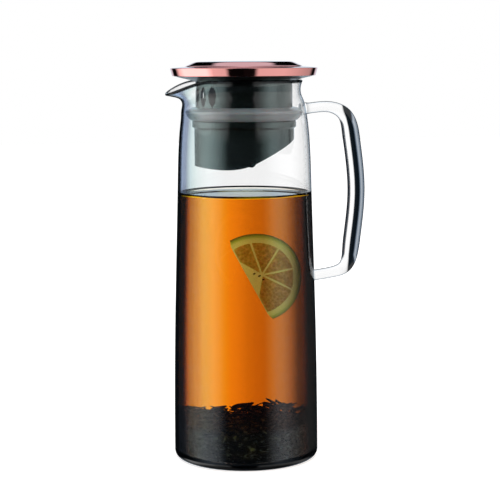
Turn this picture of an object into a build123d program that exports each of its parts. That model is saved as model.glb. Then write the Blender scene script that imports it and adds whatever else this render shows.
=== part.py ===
from build123d import *
import os
from math import cos, hypot, radians, sin, tan

os.makedirs("parts", exist_ok=True)

# Infuser pitcher: a glass carafe with a lid that carries a pour sleeve and a strainer cup.
# Millimetres. The origin is the middle of the flat base, +Z is up, the spout points to -X
# and the handle to +X.

# Carafe
base_radius = 50.35
base_corner = 5.0
base_floor = 4.0
glass_wall = 1.8
glass_join = 0.001
rim_height = 263.8
rim_radius = 40.3
neck_radius = 39.0
neck_below_rim = 7.0
shoulder_radius = 43.8
shoulder_below_rim = 27.6
shoulder_lean = 0.13
upper_radius = 46.35
upper_below_rim = 70.8
waist_radius = 48.9
waist_height = 108.0

# Spout, a lip pulled out and down from the rim
spout_reach = 54.7
spout_drop = 8.6
spout_half_angle = 55.0
spout_dip_half_angle = 45.0
spout_sections = 11

# Handle, a loop of solid glass
arm_height = 7.4
arm_width = 11.0
grip_depth = 12.0
grip_width = 13.5
grip_reach = 86.3
grip_bow = 3.8
top_arm_below_rim = 19.6
handle_height = 117.5
handle_corner = 17.5
handle_corner_cut = 9.0
handle_sections = 25
handle_arm_share = 0.08
handle_swell_share = 0.2
handle_root = 2.5
weld_gap = 0.02

# Lid cap, a pressed steel disc with a low dome
cap_sheet = 0.7
cap_overhang = 0.5
cap_band_height = 5.4
cap_band_taper = 1.45
cap_dome_radius = 40.5
cap_dome_top_radius = 33.0
cap_dome_height = 3.8
cap_dome_bulge = 1.0
cap_flange_fall = 0.9
rim_gap = 0.4

# Lid plate, the plastic core under the cap
plate_gap = 0.1
plate_cone_height = 3.6
plate_core_height = 1.2
plate_socket_depth = 2.4

# Pour sleeve
sleeve_radius = 33.4
sleeve_wall = 2.0
spigot_length = 8.0
spigot_wall = 2.4
fit_gap = 0.05
slot_count = 6
slot_pitch_angle = 15.5
slot_width = 6.8
slot_height = 14.6
slot_above_seal = 0.2

# Seal ring
seal_height = 9.0
seal_glass_gap = 0.35
seal_tip_rise = 6.1
seal_foot_width = 3.7
seal_end_gap = 0.1

# Strainer cup
cup_top_below_rim = 27.6
cup_depth = 32.4
cup_radius = 34.5
cup_wall = 1.6
cup_side_wall = 1.7
bead_radius = 35.9
bead_height = 4.3
bead_round = 1.2
cup_floor_rise = 1.4
seat_angle = 26.0
seat_opening_radius = 25.7
seat_opening_start = 6.5
seat_top_below_pin = 0.53

# O-ring between the spigot and the cup
ring_section = 1.6
ring_depth_below_top = 4.0
ring_gap = 0.02

# Screen over the slanted opening
screen_thickness = 0.5
screen_rebate = 0.6
screen_ledge = 1.3
screen_gap = 0.1
screen_hole = 2.2
screen_pitch = 3.4

# Flap and its hinge
pin_x = -2.4
pin_above_floor = 4.9
pin_radius = 1.0
pin_gap = 0.05
barrel_radius = 2.3
barrel_side_gap = 7.6
barrel_gap = 0.35
knuckle_radius = 3.0
knuckle_proud = 0.3
flap_side_gap = 0.8
flap_thickness = 1.4
gasket_thickness = 0.6
gasket_width = 2.6
gasket_seat_gap = 0.05
weight_radius = 8.0
weight_thickness = 2.6
weight_reach = 19.0
weight_rim = 1.2
weight_gap = 0.03

# Sizes worked out from the ones above
neck_height = rim_height - neck_below_rim
shoulder_height = rim_height - shoulder_below_rim
upper_height = rim_height - upper_below_rim
cap_radius = base_radius + cap_overhang
cap_low_radius = cap_radius - cap_band_taper
rim_inner_radius = rim_radius - glass_wall
cone_slope = plate_cone_height / (cap_low_radius - sleeve_radius)
cone_at_rim = cone_slope * (rim_inner_radius - sleeve_radius)
plate_bottom = rim_height + rim_gap - cone_at_rim
cap_bottom = plate_bottom + plate_cone_height
cap_flange_edge = cap_bottom + cap_band_height
cap_dome_base = cap_flange_edge + cap_flange_fall
cap_top = cap_dome_base + cap_dome_height
cup_top_height = rim_height - cup_top_below_rim
cup_floor_height = cup_top_height - cup_depth
cup_inner_radius = cup_radius - cup_side_wall
seal_bottom = cup_top_height + seal_end_gap
seal_top = seal_bottom + seal_height
sleeve_shoulder = seal_top + seal_end_gap
spigot_radius = cup_inner_radius - fit_gap
spigot_bottom = cup_top_height - spigot_length
pin_height = cup_floor_height + pin_above_floor
barrel_half_length = cup_radius - barrel_side_gap
flap_radius = spigot_radius - spigot_wall - flap_side_gap
seat_bottom_below_pin = seat_top_below_pin + cup_wall
flap_under = gasket_thickness + gasket_seat_gap - seat_top_below_pin
reach_far = 2 * cup_radius


def section_point(radius, height):
    """A point of a half section, in the XZ plane."""
    return (radius, 0, height)


def outline_face(edges):
    return make_face(Wire(edges))


def quarter_arc(centre_radius, centre_height, size):
    """Lower outer quarter of a circle in the XZ plane, from its lowest point."""
    middle = size * cos(radians(45))
    return ThreePointArc(
        section_point(centre_radius, centre_height - size),
        section_point(centre_radius + middle, centre_height - middle),
        section_point(centre_radius + size, centre_height),
    )


def standing(radius, height):
    """A cylinder that stands on the XY plane."""
    return Cylinder(radius, height, align=(Align.CENTER, Align.CENTER, Align.MIN))


def disc(radius, low, high):
    """A cylinder on the pitcher's axis between two heights."""
    return Pos(0, 0, low) * standing(radius, high - low)


def ring(outer, inner, low, high):
    return disc(outer, low, high) - disc(inner, low, high)


def bar_along_y(radius, start, end):
    """A round bar on the hinge axis, from one side distance to the other."""
    return Pos(pin_x, start, pin_height) * (Rot(-90, 0, 0) * standing(radius, end - start))


def both_sides(shape):
    return shape + mirror(shape, about=Plane.XZ)


# The slanted seat's own directions: along the slope from the pin, and square to it
def slope_frame():
    return Plane(
        origin=(pin_x, 0, pin_height),
        x_dir=(cos(radians(seat_angle)), 0, sin(radians(seat_angle))),
        z_dir=(-sin(radians(seat_angle)), 0, cos(radians(seat_angle))),
    )


def slope_slab(start, low, high):
    """A wide plate parallel to the seat, from a distance up the slope, between two offsets."""
    slab = Box(reach_far, 2 * reach_far, high - low, align=(Align.MIN, Align.CENTER, Align.MIN))
    return slope_frame() * (Pos(start, 0, low) * slab)


def tall_disc(radius):
    return disc(radius, cup_floor_height - cup_radius, rim_height)


# Carafe

def lower_block(inset, floor, corner):
    """Solid block with the carafe's shape below the shoulder, its wall moved in by the inset."""
    wall_start = floor + corner
    wall = Spline(
        [
            section_point(base_radius - inset, wall_start),
            section_point(waist_radius - inset, waist_height),
            section_point(upper_radius - inset, upper_height),
            section_point(shoulder_radius - inset, shoulder_height),
        ],
        tangents=[(0, 0, 1), (-shoulder_lean, 0, 1)],
    )
    edges = [
        Line(section_point(0, floor), section_point(base_radius - inset - corner, floor)),
        quarter_arc(base_radius - inset - corner, wall_start, corner),
        wall,
        Line(section_point(shoulder_radius - inset, shoulder_height), section_point(0, shoulder_height)),
        Line(section_point(0, shoulder_height), section_point(0, floor)),
    ]
    return revolve(outline_face(edges), axis=Axis.Z)


def lower_wall():
    return lower_block(0, 0, base_corner) - lower_block(glass_wall, base_floor, base_corner - glass_wall)


def upper_middle_line(reach, dip):
    """Middle of the wall from the shoulder to the rim: plain for 0, at the spout's tip for 1."""
    half = glass_wall / 2
    rim_end = rim_height - half
    tip_height = rim_end - spout_drop
    plain = [
        (shoulder_radius - half, shoulder_height),
        (neck_radius + 3.1 - half, neck_height - 10.6),
        (neck_radius + 2.0 - half, neck_height - 7.0),
        (neck_radius + 0.75 - half, neck_height - 4.1),
        (neck_radius - half, neck_height - 0.3),
        (neck_radius + 0.3 - half, neck_height + 3.2),
        (rim_radius - half, rim_end),
    ]
    spout = [
        (shoulder_radius - half, shoulder_height),
        (neck_radius + 4.3 - half, tip_height - 10.8),
        (neck_radius + 3.8 - half, tip_height - 6.8),
        (neck_radius + 5.3 - half, tip_height - 3.3),
        (spout_reach - 8.0 - half, tip_height - 1.8),
        (spout_reach - 5.2 - half, tip_height - 1.0),
        (spout_reach - half, tip_height),
    ]
    return [
        (p[0] + reach * (s[0] - p[0]), p[1] + dip * (s[1] - p[1]))
        for p, s in zip(plain, spout)
    ]


def offset_points(points, distance):
    """The same line moved sideways by a distance, outwards when it is positive."""
    moved = []
    last = len(points) - 1
    for i, (r, z) in enumerate(points):
        r0, z0 = points[max(i - 1, 0)]
        r1, z1 = points[min(i + 1, last)]
        if i == 0:
            r0, z0, r1, z1 = 0, 0, 0, 1
        size = hypot(r1 - r0, z1 - z0)
        moved.append((r + distance * (z1 - z0) / size, z - distance * (r1 - r0) / size))
    return moved


def upper_section(reach, dip):
    """Closed section of the wall above the shoulder, with a round rim."""
    half = glass_wall / 2
    middle = upper_middle_line(reach, dip)
    outer = Spline([section_point(*p) for p in offset_points(middle, half)])
    inner = Spline([section_point(*p) for p in offset_points(middle, -half)])
    (r0, z0), (r1, z1) = middle[-2], middle[-1]
    size = hypot(r1 - r0, z1 - z0)
    rim_top = section_point(r1 + half * (r1 - r0) / size, z1 + half * (z1 - z0) / size)
    return [
        outer,
        ThreePointArc(outer @ 1, rim_top, inner @ 1),
        inner,
        Line(inner @ 0, outer @ 0),
    ]


def bell(angle, half_angle):
    """1 in the middle, falling smoothly to 0 at the half angle."""
    if abs(angle) >= half_angle:
        return 0.0
    return cos(radians(90 * angle / half_angle)) ** 2


def spout_wall():
    sections = []
    for i in range(spout_sections):
        angle = spout_half_angle * (2 * i / (spout_sections - 1) - 1)
        edges = upper_section(bell(angle, spout_half_angle), bell(angle, spout_dip_half_angle))
        sections.append(Rot(0, 0, 180 + angle) * outline_face(edges))
    return loft(sections)


def plain_neck():
    start = Rot(0, 0, 180 + spout_half_angle) * outline_face(upper_section(0, 0))
    return revolve(start, axis=Axis.Z, revolution_arc=360 - 2 * spout_half_angle)


def make_carafe():
    lower = lower_wall().solid()
    return lower.fuse(plain_neck().solid(), spout_wall().solid(), tol=glass_join)


# Handle

def handle_path():
    """Middle line of the loop, from the top weld to the bottom one."""
    grip_middle = grip_reach - grip_depth / 2
    top = rim_height - top_arm_below_rim
    low = top - handle_height
    arm_end = grip_middle - handle_corner
    corner = grip_middle - handle_corner_cut
    bowed = grip_middle - grip_bow
    return Spline(
        [
            (shoulder_radius - handle_root, 0, top - arm_height / 12),
            (arm_end, 0, top),
            (corner, 0, top - handle_corner_cut / 2),
            (bowed, 0, top - handle_height / 6),
            (grip_middle, 0, top - handle_height / 2),
            (bowed, 0, low + handle_height / 6),
            (corner, 0, low + handle_corner_cut / 2),
            (arm_end, 0, low + arm_height / 5),
            (upper_radius - handle_root, 0, low - arm_height / 12),
        ],
        tangents=[(1, 0, 0.05), (-1, 0, -0.1)],
    )


def make_handle(carafe_block):
    path = handle_path()
    sections = []
    for i in range(handle_sections):
        t = i / (handle_sections - 1)
        share = 1 - bell(min(t, 1 - t) - handle_arm_share, handle_swell_share)
        if min(t, 1 - t) < handle_arm_share:
            share = 0.0
        depth = arm_height + (grip_depth - arm_height) * share
        width = arm_width + (grip_width - arm_width) * share
        along = path % t
        plane = Plane(origin=path @ t, x_dir=(0, 1, 0), z_dir=along)
        sections.append(plane * Face(Wire([Ellipse(width / 2, depth / 2).edges()[0]])))
    return loft(sections) - carafe_block


def carafe_block():
    """Solid block a little larger than the carafe, to cut the handle's welds to the wall."""
    block = lower_block(-weld_gap, 0, base_corner)
    neck = [
        section_point(*p)
        for p in offset_points(upper_middle_line(0, 0), glass_wall / 2 + weld_gap)
    ]
    top = neck[-1]
    edges = [
        Line(section_point(0, shoulder_height), neck[0]),
        Spline(neck),
        Line(top, section_point(0, top[2])),
        Line(section_point(0, top[2]), section_point(0, shoulder_height)),
    ]
    return block + revolve(outline_face(edges), axis=Axis.Z)


# Lid cap

def cap_outline(inset):
    """Half section of the cap's outside, moved in by the inset, as a closed face."""
    dome_middle = (cap_dome_radius + cap_dome_top_radius) / 2 + cap_dome_bulge
    axis_low = section_point(0, cap_bottom)
    axis_high = section_point(0, cap_top - inset)
    band_low = section_point(cap_low_radius - inset, cap_bottom)
    band_high = section_point(cap_radius - inset, cap_flange_edge - inset)
    dome_low = section_point(cap_dome_radius - inset / 2, cap_dome_base - inset)
    dome_side = section_point(dome_middle - inset / 2, cap_dome_base + 0.62 * cap_dome_height - inset)
    dome_high = section_point(cap_dome_top_radius - inset / 2, cap_top - inset)
    edges = [
        Line(axis_low, band_low),
        Line(band_low, band_high),
        Line(band_high, dome_low),
        ThreePointArc(dome_low, dome_side, dome_high),
        Line(dome_high, axis_high),
        Line(axis_high, axis_low),
    ]
    return outline_face(edges)


def make_lid_cap():
    return revolve(cap_outline(0), axis=Axis.Z) - revolve(cap_outline(cap_sheet), axis=Axis.Z)


# Lid plate

def make_lid_plate():
    """Plastic core: a rim inside the cap's band, a conical underside and a socket for the sleeve."""
    inset = cap_sheet + plate_gap
    core_top = cap_bottom + plate_core_height
    edge_low = cap_low_radius - inset
    edge_high = edge_low + plate_core_height * cap_band_taper / cap_band_height
    corners = [
        section_point(0, plate_bottom),
        section_point(sleeve_radius, plate_bottom),
        section_point(edge_low, cap_bottom),
        section_point(edge_high, core_top),
        section_point(0, core_top),
    ]
    plate = revolve(outline_face(Polyline(*corners, close=True).edges()), axis=Axis.Z)
    socket = ring(
        sleeve_radius + fit_gap,
        sleeve_radius - sleeve_wall - fit_gap,
        plate_bottom,
        plate_bottom + plate_socket_depth + fit_gap,
    )
    return plate - socket


# Pour sleeve

def pour_slot():
    """One upright slot, pointed at both ends, through the sleeve wall on the spout side."""
    low = sleeve_shoulder + slot_above_seal
    half = slot_height / 2
    near = ThreePointArc((0, 0, -half), (0, slot_width / 2, 0), (0, 0, half))
    far = ThreePointArc((0, 0, half), (0, -slot_width / 2, 0), (0, 0, -half))
    cutter = extrude(outline_face([near, far]), 2 * sleeve_wall, dir=(1, 0, 0))
    return Pos(-sleeve_radius - sleeve_wall / 2, 0, low + half) * cutter


def make_pour_sleeve():
    inner = sleeve_radius - sleeve_wall
    spigot_inner = spigot_radius - spigot_wall
    sleeve = ring(sleeve_radius, inner, sleeve_shoulder, plate_bottom + plate_socket_depth)
    sleeve += ring(spigot_radius, spigot_inner, spigot_bottom, sleeve_shoulder + sleeve_wall)
    for i in range(slot_count):
        angle = slot_pitch_angle * (i - (slot_count - 1) / 2)
        sleeve -= Rot(0, 0, angle) * pour_slot()
    middle = cup_top_height - ring_depth_below_top
    groove_height = ring_section + 4 * ring_gap
    groove_floor = cup_inner_radius - 2 * ring_gap - ring_section
    groove = ring(
        sleeve_radius + sleeve_wall,
        groove_floor - ring_gap,
        middle - groove_height / 2,
        middle + groove_height / 2,
    )
    return sleeve - groove


def make_cup_o_ring():
    centre = cup_inner_radius - ring_gap - ring_section / 2
    return Pos(0, 0, cup_top_height - ring_depth_below_top) * Torus(centre, ring_section / 2)


# Seal ring

def glass_inner_radius(height):
    """Inner radius of the plain neck at a height between the shoulder and the neck."""
    points = offset_points(upper_middle_line(0, 0), -glass_wall / 2)
    for (r0, z0), (r1, z1) in zip(points, points[1:]):
        if z0 <= height <= z1:
            return r0 + (r1 - r0) * (height - z0) / (z1 - z0)
    return points[0][0]


def make_seal_ring():
    """Wedge of silicone: a bore on the spigot and a lip that leans out to the glass."""
    bore = spigot_radius + fit_gap
    foot = spigot_radius + seal_foot_width
    tip_height = seal_bottom + seal_tip_rise
    tip = glass_inner_radius(tip_height) - seal_glass_gap
    edges = [
        Line(section_point(bore, seal_bottom), section_point(foot, seal_bottom)),
        ThreePointArc(
            section_point(foot, seal_bottom),
            section_point(foot + 1.5, seal_bottom + 1.2),
            section_point(tip - 0.5, tip_height - 1.9),
        ),
        ThreePointArc(
            section_point(tip - 0.5, tip_height - 1.9),
            section_point(tip, tip_height),
            section_point(tip - 1.0, tip_height + 0.9),
        ),
        ThreePointArc(
            section_point(tip - 1.0, tip_height + 0.9),
            section_point((tip + sleeve_radius) / 2, seal_top - 0.7),
            section_point(sleeve_radius, seal_top),
        ),
        Line(section_point(sleeve_radius, seal_top), section_point(bore, seal_top)),
        Line(section_point(bore, seal_top), section_point(bore, seal_bottom)),
    ]
    return revolve(outline_face(edges), axis=Axis.Z)


# Strainer cup

def cup_bottom_block(lift):
    """Everything above the cup's bottom: a shallow pan on the spout side and the slanted seat."""
    seat_offset = seat_bottom_below_pin - lift
    start_x = pin_x + seat_offset * sin(radians(seat_angle))
    start_z = pin_height - seat_offset * cos(radians(seat_angle))
    far = reach_far
    far_z = start_z + (far - start_x) * tan(radians(seat_angle))
    pan_end = (pin_x - barrel_radius, cup_floor_height + 1.5 * cup_floor_rise + lift)
    pan = Spline(
        [
            section_point(-far, cup_floor_height + 2 * cup_floor_rise + lift),
            section_point(-cup_radius, cup_floor_height + cup_floor_rise + lift),
            section_point(-0.55 * cup_radius, cup_floor_height + lift),
            section_point(*pan_end),
        ]
    )
    edges = [
        pan,
        Line(section_point(*pan_end), section_point(start_x, start_z)),
        Line(section_point(start_x, start_z), section_point(far, far_z)),
        Line(section_point(far, far_z), section_point(far, rim_height)),
        Line(section_point(far, rim_height), section_point(-far, rim_height)),
        Line(section_point(-far, rim_height), pan @ 0),
    ]
    face = outline_face(edges)
    return extrude(Pos(0, -far, 0) * face, 2 * far, dir=(0, 1, 0))


def cup_bead():
    """Rounded bead round the top of the cup, as a solid of revolution."""
    low = cup_top_height - bead_height
    slope = bead_radius - cup_radius
    round_cut = bead_round * (1 - cos(radians(45)))
    round_start = section_point(bead_radius, cup_top_height - bead_round)
    round_middle = section_point(bead_radius - round_cut, cup_top_height - round_cut)
    round_end = section_point(bead_radius - bead_round, cup_top_height)
    corners = [
        round_end,
        section_point(cup_inner_radius, cup_top_height),
        section_point(cup_inner_radius, low - slope),
        section_point(cup_radius, low - slope),
        section_point(bead_radius, low),
        round_start,
    ]
    edges = Polyline(*corners).edges() + [ThreePointArc(round_start, round_middle, round_end)]
    return revolve(outline_face(edges), axis=Axis.Z)


def past_hinge(start):
    """Everything further up the slope than a distance from the pin."""
    return slope_slab(start, -reach_far, reach_far)


def make_strainer_cup():
    wall_top = cup_top_height - bead_height
    cup = disc(cup_radius, cup_floor_height - cup_wall, wall_top) & cup_bottom_block(0)
    cup -= disc(cup_inner_radius, cup_floor_height - cup_wall, rim_height) & cup_bottom_block(cup_wall)
    cup += cup_bead()
    opening = tall_disc(seat_opening_radius) & past_hinge(seat_opening_start)
    rebate_low = -seat_top_below_pin - screen_rebate
    rebate = tall_disc(seat_opening_radius + screen_ledge) & slope_slab(
        seat_opening_start - screen_ledge, rebate_low, 1
    )
    cup = cup - opening - rebate
    knuckle = bar_along_y(knuckle_radius, barrel_half_length + barrel_gap, cup_radius + knuckle_proud)
    cup += both_sides(knuckle)
    half_gap = barrel_half_length + barrel_gap
    cup -= bar_along_y(barrel_radius + barrel_gap, -half_gap, half_gap)
    cup -= bar_along_y(pin_radius + ring_gap, -reach_far, reach_far)
    return cup


# Screen

def make_strainer_screen():
    low = -seat_top_below_pin - screen_rebate + ring_gap
    edge = seat_opening_radius + screen_ledge - screen_gap
    start = seat_opening_start - screen_ledge + screen_gap
    sheet = tall_disc(edge) & slope_slab(start, low, low + screen_thickness)
    row_step = screen_pitch * sin(radians(60))
    margin = screen_ledge + screen_hole
    holes = []
    rows = int(seat_opening_radius / cos(radians(seat_angle)) / row_step) + 2
    columns = int(seat_opening_radius / screen_pitch) + 1
    for row in range(rows):
        along = seat_opening_start + screen_hole + row * row_step
        for column in range(-columns, columns + 1):
            across = (column + 0.5 * (row % 2)) * screen_pitch
            x = pin_x + along * cos(radians(seat_angle))
            if hypot(x, across) > seat_opening_radius - margin + screen_ledge:
                continue
            holes.append(Pos(along, across, low) * Cylinder(screen_hole / 2, 4 * screen_thickness))
    return sheet - slope_frame() * Compound(holes)


# Flap

def knuckle_clearance():
    reach = barrel_half_length + ring_gap
    return both_sides(bar_along_y(knuckle_radius + barrel_gap, reach, reach_far))


def make_pour_flap():
    plate = tall_disc(flap_radius) & slope_slab(0, flap_under, flap_under + flap_thickness)
    flap = plate - knuckle_clearance()
    flap += bar_along_y(barrel_radius, -barrel_half_length, barrel_half_length)
    top = flap_under + flap_thickness
    bore = weight_radius + weight_gap
    weight_cup = standing(bore + weight_rim, weight_thickness) - standing(bore, weight_thickness)
    flap += slope_frame() * (Pos(weight_reach, 0, top) * weight_cup)
    flap -= bar_along_y(pin_radius + pin_gap, -reach_far, reach_far)
    return flap


def make_flap_gasket():
    low = flap_under - gasket_thickness
    start = barrel_radius + barrel_gap
    outer = tall_disc(flap_radius - ring_gap) & slope_slab(start, low, flap_under - ring_gap)
    inner = tall_disc(flap_radius - gasket_width) & past_hinge(start + gasket_width)
    return outer - inner - knuckle_clearance()


def make_flap_weight():
    top = flap_under + flap_thickness + ring_gap
    return slope_frame() * (Pos(weight_reach, 0, top) * standing(weight_radius, weight_thickness))


def make_hinge_pin():
    return bar_along_y(pin_radius, -cup_radius, cup_radius)


parts = {
    "carafe": make_carafe(),
    "handle": make_handle(carafe_block()),
    "lid_cap": make_lid_cap(),
    "lid_plate": make_lid_plate(),
    "pour_sleeve": make_pour_sleeve(),
    "seal_ring": make_seal_ring(),
    "strainer_cup": make_strainer_cup(),
    "cup_o_ring": make_cup_o_ring(),
    "strainer_screen": make_strainer_screen(),
    "pour_flap": make_pour_flap(),
    "flap_gasket": make_flap_gasket(),
    "flap_weight": make_flap_weight(),
    "hinge_pin": make_hinge_pin(),
}

for name, shape in parts.items():
    export_step(shape, f"parts/{name}.step")
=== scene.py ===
import functools
import math
import random

import bmesh
import bpy
import numpy as np
from mathutils import Matrix, Vector


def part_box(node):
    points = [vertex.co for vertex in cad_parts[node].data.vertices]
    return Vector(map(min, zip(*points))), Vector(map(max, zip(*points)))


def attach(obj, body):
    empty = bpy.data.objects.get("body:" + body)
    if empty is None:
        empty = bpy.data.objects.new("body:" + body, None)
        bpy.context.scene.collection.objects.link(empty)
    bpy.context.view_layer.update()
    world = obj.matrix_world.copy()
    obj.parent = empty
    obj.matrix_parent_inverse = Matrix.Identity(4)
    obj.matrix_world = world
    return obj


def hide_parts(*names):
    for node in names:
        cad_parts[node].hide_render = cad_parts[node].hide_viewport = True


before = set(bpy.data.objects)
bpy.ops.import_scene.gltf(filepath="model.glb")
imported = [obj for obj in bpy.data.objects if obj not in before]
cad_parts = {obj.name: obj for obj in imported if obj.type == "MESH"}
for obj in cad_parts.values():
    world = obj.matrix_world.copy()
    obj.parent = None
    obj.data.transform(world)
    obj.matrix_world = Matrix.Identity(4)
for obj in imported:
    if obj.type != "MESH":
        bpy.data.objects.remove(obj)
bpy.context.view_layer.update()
print("frame loaded")

mm = 0.001  # every size below is in millimetres, the scene is in metres

# The picture is taken from the spout side, a little round from the pitcher's own plane
shot = {
    "azimuth": -12.0,        # degrees round from the front
    "distance": 1060.0,
    "eyeHeight": 278.7,
    "pitch": 7.15,           # looking down
    "roll": 0.35,
    "sideStep": 3.5,
    "lens": 110.2,
    "sensor": 36.0,
}
shotTurn = math.radians(shot["azimuth"])
towardsRight = Vector((math.cos(shotTurn), math.sin(shotTurn), 0))
awayFromEye = Vector((-math.sin(shotTurn), math.cos(shotTurn), 0))


def linearColour(hexText):
    shares = [int(hexText[i:i + 2], 16) / 255 for i in (1, 3, 5)]
    return [s / 12.92 if s <= 0.04045 else ((s + 0.055) / 1.055) ** 2.4 for s in shares] + [1.0]


# Adds a node with its settings, values, links and ramp stops. A link from a node takes its first output
def addNode(tree, kind, settings=None, values=None, links=None, stops=None):
    node = tree.nodes.new("ShaderNode" + kind)
    for name, value in (settings or {}).items():
        setattr(node, name, value)
    for name, value in (values or {}).items():
        node.inputs[name].default_value = value
    for name, source in (links or {}).items():
        output = source.outputs[0] if isinstance(source, bpy.types.Node) else source
        tree.links.new(output, node.inputs[name])
    if stops:
        elements = node.color_ramp.elements
        for place, colour in stops[2:]:
            elements.new(place)
        for element, (place, colour) in zip(elements, sorted(stops)):
            element.position = place
            element.color = colour
    return node


# Empties the nodes of a material or world, and returns what adds nodes to it
def startNodes(owner):
    owner.use_nodes = True
    owner.node_tree.nodes.clear()
    return functools.partial(addNode, owner.node_tree)


# An empty material, what adds nodes to it and the place on the piece that patterns are drawn from
def startMaterial(name):
    material = bpy.data.materials.new(name)
    add = startNodes(material)
    return material, add, add("TexCoord").outputs["Object"]


# Lets light pass straight through a clear material for shadows
def clearShadow(add, surface, tone):
    clear = add("BsdfTransparent", values={"Color": tone})
    path = add("LightPath")
    return add("MixShader", links={0: path.outputs["Is Shadow Ray"], 1: surface, 2: clear})


def grey(value):
    return (value, value, value, 1.0)


# Settings of the two ways to mix colours: they go in as inputs 6 and 7 and come out as output 2
colourMix = {"data_type": "RGBA"}
colourMultiply = {"data_type": "RGBA", "blend_type": "MULTIPLY"}
# Settings of the sums that are used more than once
dotProduct, multiplied, above = ({"operation": kind} for kind in ("DOT_PRODUCT", "MULTIPLY", "GREATER_THAN"))


# Line through points, bent like a thin wooden strip, as count + 1 points
def smoothLine(points, count, startDirection=None, endDirection=None):
    knots = np.array(points, dtype=float)
    steps = np.linalg.norm(np.diff(knots, axis=0), axis=1)
    at = np.concatenate([[0], np.cumsum(steps)])
    size = len(knots)
    left = np.zeros((size, size))
    right = np.zeros_like(knots)
    for i in range(1, size - 1):
        before, after = steps[i - 1], steps[i]
        left[i, i - 1], left[i, i], left[i, i + 1] = after, 2 * (before + after), before
        right[i] = 3 * (after * (knots[i] - knots[i - 1]) / before
                        + before * (knots[i + 1] - knots[i]) / after)
    for end, near, direction in ((0, 1, startDirection), (size - 1, size - 2, endDirection)):
        if direction is None:
            left[end, end], left[end, near] = 2, 1
            right[end] = 3 * (knots[near] - knots[end]) / (at[near] - at[end])
        else:
            left[end, end] = 1
            right[end] = np.array(direction) / np.linalg.norm(direction)
    slopes = np.linalg.solve(left, right)
    made = []
    for value in np.linspace(0, at[-1], count + 1):
        i = min(int(np.searchsorted(at, value, side="right")) - 1, size - 2)
        span = steps[i]
        t = (value - at[i]) / span
        made.append((2 * t**3 - 3 * t**2 + 1) * knots[i] + (t**3 - 2 * t**2 + t) * span * slopes[i]
                    + (3 * t**2 - 2 * t**3) * knots[i + 1] + (t**3 - t**2) * span * slopes[i + 1])
    return [tuple(p) for p in made]


def offsetLine(line, distance):
    moved = []
    for i, (r, z) in enumerate(line):
        r0, z0 = line[max(i - 1, 0)]
        r1, z1 = line[min(i + 1, len(line) - 1)]
        size = math.hypot(r1 - r0, z1 - z0)
        moved.append((r + distance * (z1 - z0) / size, z - distance * (r1 - r0) / size))
    return moved


# Closed or open half section with its corners rounded and its long runs divided
def roundedSection(corners, longest=2.0):
    count = len(corners)
    line = []
    for i, (r, z, rounding) in enumerate(corners):
        if not rounding:
            line.append((r, z))
            continue
        here = Vector((r, z))
        before = Vector(corners[i - 1][:2]) - here
        after = Vector(corners[(i + 1) % count][:2]) - here
        half = before.angle(after) / 2
        reach = rounding / math.tan(half)
        start, end = here + before.normalized() * reach, here + after.normalized() * reach
        middle = here + (before.normalized() + after.normalized()).normalized() * rounding / math.sin(half)
        for k in range(7):
            spoke = start.lerp(end, k / 6) - middle
            line.append(tuple(middle + spoke.normalized() * rounding))
    divided = []
    for a, b in zip(line, line[1:] + line[:1]):
        pieces = max(1, math.ceil(math.dist(a, b) / longest))
        for k in range(pieces):
            divided.append((a[0] + (b[0] - a[0]) * k / pieces, a[1] + (b[1] - a[1]) * k / pieces))
    return divided


def addPiece(name, mesh, material, body, replaced=()):
    piece = bpy.data.objects.new(name, mesh)
    bpy.context.scene.collection.objects.link(piece)
    mesh.materials.append(material)
    mesh.shade_smooth()
    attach(piece, body)
    if replaced:
        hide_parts(*replaced)
    return piece


# Skin through rows of points in millimetres, closed round each row or along the rows where asked
def skinMesh(name, rows, closedRow=True, closedRows=False, marks=None):
    width = len(rows[0])
    vertices = [tuple(c * mm for c in point) for row in rows for point in row]
    faces = []
    rowCount = len(rows)
    for i in range(rowCount if closedRows else rowCount - 1):
        for j in range(width if closedRow else width - 1):
            a, b = i * width + j, i * width + (j + 1) % width
            c, d = ((i + 1) % rowCount) * width + (j + 1) % width, ((i + 1) % rowCount) * width + j
            faces.append((a, b, c, d))
    mesh = bpy.data.meshes.new(name)
    mesh.from_pydata(vertices, [], faces)
    for label, values in (marks or {}).items():
        everyValue = [value for row in values for value in row]
        mesh.attributes.new(label, "FLOAT", "POINT").data.foreach_set("value", everyValue)
    cleaned = bmesh.new()
    cleaned.from_mesh(mesh)
    bmesh.ops.remove_doubles(cleaned, verts=cleaned.verts, dist=1e-6)
    bmesh.ops.dissolve_degenerate(cleaned, edges=cleaned.edges, dist=1e-7)
    bmesh.ops.recalc_face_normals(cleaned, faces=cleaned.faces)
    cleaned.to_mesh(mesh)
    cleaned.free()
    return mesh


def latheMesh(name, section, around=192, closed=True):
    rows = []
    for k in range(around):
        turn = 2 * math.pi * k / around
        rows.append([(r * math.cos(turn), r * math.sin(turn), z) for r, z in section])
    return skinMesh(name, rows, closedRow=closed, closedRows=True)


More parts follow.
